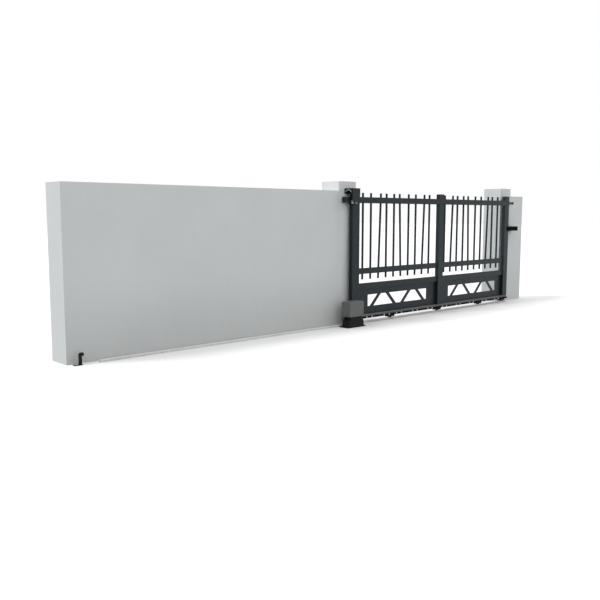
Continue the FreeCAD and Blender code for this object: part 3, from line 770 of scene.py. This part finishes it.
for step in range(1, drive["lidSteps"] + 1):
    before, after = [math.pi / 2 * part / drive["lidSteps"] for part in (step - 1, step)]
    insetBefore, insetAfter = [2 * drive["lid"] * (1 - math.cos(angle)) for angle in (before, after)]
    extrudeBy(0, 0, drive["lid"] * (math.sin(after) - math.sin(before)))
    bpy.ops.transform.resize(center_override=middle, value=(
        (size.x - insetAfter) / (size.x - insetBefore), (size.y - insetAfter) / (size.y - insetBefore), 1))
closeEdit()
for level in (drive["seamUp"], drive["seamUp"] + drive["seamHigh"]):
    splitAt(cover, low.z + level)


def inSeam(face):
    up = face.calc_center_median().z - low.z
    return drive["seamUp"] < up < drive["seamUp"] + drive["seamHigh"] and flanksAxis(face, 2)


openEdit(cover, "FACE", inSeam)
bpy.ops.mesh.extrude_region_shrink_fatten(TRANSFORM_OT_shrink_fatten={"value": -drive["seamDeep"]})
closeEdit()
ready(cover, "driveCoverShell", "posts", "cover_grey", coverFinish, "drive_cover")

low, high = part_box("drive_base")
topLow = Vector((low.x + drive["left"], low.y + drive["front"], low.z))
topHigh = Vector((high.x - drive["right"], high.y - drive["back"], high.z))
size = topHigh - topLow
grow = Vector((drive["left"] + drive["right"], drive["front"] + drive["back"]))
still = (topLow.x + size.x * drive["left"] / grow.x, topLow.y + size.y * drive["front"] / grow.y, 0)
base = addBlock((topLow.x, topLow.y, topHigh.z - size.z * drive["skirt"][0][0]), topHigh)
bevelEdges(base, lambda edge: runsAlong(edge, 2), drive["baseCorner"], drive["cornerSteps"])
openEdit(base, "FACE", lambda face: facesTo(face, 2, -1))
for (downBefore, before), (downAfter, after) in zip(drive["skirt"], drive["skirt"][1:]):
    extrudeBy(0, 0, -size.z * (downAfter - downBefore))
    bpy.ops.transform.resize(center_override=still, value=(
        (size.x + grow.x * after) / (size.x + grow.x * before),
        (size.y + grow.y * after) / (size.y + grow.y * before), 1))
closeEdit()
soften(base, drive["baseEdge"], 1, drive["baseSharp"])
ready(base, "driveBaseSkirt", "posts", "base_grey", baseFinish, "drive_base")

low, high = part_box("drive_base_plate")
plate = addBlock(low, high)
bevelEdges(plate, lambda edge: runsAlong(edge, 2) and bothAt(edge, 1, low.y), drive["plateCorner"],
           drive["plateSteps"])
soften(plate, drive["plateEdge"])
ready(plate, "drivePlate", "posts", "black_steel", blackSteelFinish, "drive_base_plate")
print("drive unit built")

# end stop on its foot, with a buffer
stop = {"post": 0.026, "foot": 0.006, "topRound": 0.023, "topSteps": 6, "edge": 0.0016, "footEdge": 0.0015,
        "anchorIn": 0.025, "anchorOff": 0.014, "padRound": 0.010, "padSteps": 5}
low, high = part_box("end_stop")
stopY = (low.y + high.y) / 2
postBack, halfPost = high.x - stop["post"], stop["post"] / 2
post = addBlock((postBack, stopY - halfPost, stop["foot"]), (high.x, stopY + halfPost, high.z))
bevelEdges(post, lambda edge: bothAt(edge, 0, postBack) and bothAt(edge, 2, high.z), stop["topRound"],
           stop["topSteps"])
soften(post, stop["edge"])
foot = softBlock(low, (high.x, high.y, stop["foot"]), stop["footEdge"])
ready(join([post, foot]), "endStopPost", "posts", "black_steel", blackSteelFinish, "end_stop")
anchors = [copyTo(boltMaster, (low.x + stop["anchorIn"], stopY + shift, stop["foot"]))
           for shift in (-stop["anchorOff"], stop["anchorOff"])]
ready(join(anchors), "endStopAnchors", "posts", "steel", steelFinish)
low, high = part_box("stop_buffer")
pad = softBlock(low, high, stop["padRound"], stop["padSteps"])
ready(pad, "stopBufferPad", "posts", "rubber", rubberFinish, "stop_buffer")

# keeper box with its buffer, latch and tongue
keeper = {"wall": 0.005, "jaw": 0.041, "edge": 0.0012, "padRound": 0.003, "latchRound": 0.002, "steps": 3}
low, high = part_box("keeper")
case = addBlock((low.x + keeper["jaw"], low.y, low.z), high)
openEdit(case, "FACE", lambda face: facesTo(face, 0, -1))
bpy.ops.mesh.inset(thickness=keeper["wall"], depth=0)
extrudeBy(high.x - low.x - keeper["jaw"] - keeper["wall"], 0, 0)
closeEdit()
jaw = addBlock(low, (low.x + keeper["jaw"], low.y + keeper["wall"], high.z))
case = join([soften(case, keeper["edge"]), soften(jaw, keeper["edge"])])
ready(case, "keeperCase", "posts", "black_steel", keeperFinish, "keeper")
low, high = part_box("keeper_buffer")
pad = softBlock(low, high, keeper["padRound"], keeper["steps"])
ready(pad, "keeperPad", "posts", "rubber", rubberFinish, "keeper_buffer")
low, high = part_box("latch_bar")
latch = softBlock(low, high, keeper["latchRound"], keeper["steps"])
ready(latch, "latchFlat", "leaf", "black_steel", blackSteelFinish, "latch_bar")

tongue = {"pin": 0.0185, "pinIn": 0.001, "knob": 0.038, "round": 0.010, "steps": 5}
low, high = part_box("top_tongue")
midY, midZ = (low.y + high.y) / 2, (low.z + high.z) / 2
knobStart = high.x - tongue["knob"]
pin = addRod((low.x, midY, midZ), (knobStart + tongue["pinIn"], midY, midZ), tongue["pin"])
knob = softBlock((knobStart, low.y, low.z), high, tongue["round"], tongue["steps"])
ready(join([pin, knob]), "topTongueKnob", "leaf", "anthracite", anthraciteFinish, "top_tongue")

# top guide: welded plates with an arch that the stile heads pass under, straps round the arch
guide = {"plate": 0.005, "strap": 0.003, "strapWide": 0.010, "strapEdge": 0.0006, "arch": 0.054,
         "archSides": 64, "archUp": 0.030, "footUp": 0.060, "sideUp": 0.042, "flangeUp": 0.039,
         "flangeGap": 0.005, "softEdge": 0.0008, "clear": 0.01, "below": 0.1}
low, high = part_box("guide_bracket")
left, right = low.x + guide["strap"], high.x - guide["strap"]
frontBack = low.y + guide["plate"]
backFront = high.y - guide["plate"]
topUnder = high.z - guide["plate"]
archMiddle = ((railLow.y + railHigh.y) / 2, railHigh.z + guide["archUp"])
sideFoot = railHigh.z + guide["sideUp"]
flangeFoot = railLow.z + guide["flangeUp"]
strapFoot = railHigh.z + guide["footUp"]


def archRod(radius, x0, x1):
    return addRod((x0, *archMiddle), (x1, *archMiddle), radius, guide["archSides"])


plates = [
    addBlock((left, low.y, low.z), (right, frontBack, high.z)),
    addBlock((left, frontBack, topUnder), (right, high.y, high.z)),
    addBlock((left, backFront, sideFoot), (right, high.y, topUnder))]
portal = join([soften(part, guide["softEdge"]) for part in plates])
ready(portal, "guidePortal", "posts", "anthracite", anthraciteFinish, "guide_bracket")
plates = []
for x in (left, right - guide["plate"]):
    side = addBlock((x, frontBack, flangeFoot), (x + guide["plate"], backFront, topUnder))
    x0, x1 = x - guide["clear"], x + guide["plate"] + guide["clear"]
    notchLow = (x0, railLow.y - guide["flangeGap"], flangeFoot - guide["clear"])
    cutBy(side, addBlock(notchLow, (x1, high.y, sideFoot)))
    plates.append(cutBy(side, archRod(guide["arch"], x0, x1)))
sides = join([soften(part, guide["softEdge"]) for part in plates])
ready(sides, "guideSides", "posts", "black_steel", blackSteelFinish)
straps = []
for x0, x1 in ((low.x, left), (right, high.x)):
    past0, past1 = x0 - guide["clear"], x1 + guide["clear"]
    ring = archRod(guide["arch"] + guide["strapWide"], x0, x1)
    strap = cutBy(ring, archRod(guide["arch"], past0, past1))
    below = addBlock((past0, low.y, archMiddle[1] - guide["below"]), (past1, high.y, strapFoot))
    straps.append(soften(cutBy(strap, below), guide["strapEdge"]))
ready(join(straps), "guideStraps", "posts", "steel", steelFinish)

# guide rollers turned from nylon, with rims and a sunk end round the pin
rollers = {"count": 4, "sides": 48, "rim": 0.0035, "sunk": 0.003, "sunkWall": 0.001, "edge": 0.0012,
           "sharp": 40, "pinEnd": 0.007, "pinUp": 0.0025, "pinIn": 0.001, "pinRound": 0.8, "pinSteps": 3}
pinEnds = []
for number in range(1, rollers["count"] + 1):
    node = "guide_roller_%d" % number
    rollerLow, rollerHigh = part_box(node)
    centre = boxMiddle(node)
    roller = addRod((centre.x, centre.y, rollerLow.z), (centre.x, centre.y, rollerHigh.z),
                    (rollerHigh.x - rollerLow.x) / 2, rollers["sides"])
    openEdit(roller, "FACE", lambda face: endsAxis(face, 2))
    insetEach(rollers["rim"])
    insetEach(rollers["sunkWall"], -rollers["sunk"])
    closeEdit()
    soften(roller, rollers["edge"], 2, rollers["sharp"])
    ready(roller, "guideRoller%dTurned" % number, node, "white_nylon", whiteNylonFinish, node)
    pinEnd = addRod((centre.x, centre.y, high.z - rollers["pinIn"]),
                    (centre.x, centre.y, high.z + rollers["pinUp"]), rollers["pinEnd"])
    pinEnds.append(soften(pinEnd, rollers["pinUp"] * rollers["pinRound"], rollers["pinSteps"]))
ready(join(pinEnds), "guidePinEnds", "posts", "black_steel", blackSteelFinish)
print("guide and closing side built")

for spare in (boltMaster, smallBolt):
    drop(spare)

# nodes that keep their own shape get a finish
kept = {"guide_pins": blackSteelFinish, "drive_pinion": steelFinish, "rack_1": blackNylonFinish,
        "rack_2": blackNylonFinish, "rack_3": blackNylonFinish, "rack_4": blackNylonFinish}
for node, finish in kept.items():
    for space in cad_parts[node].material_slots:
        space.material = finish
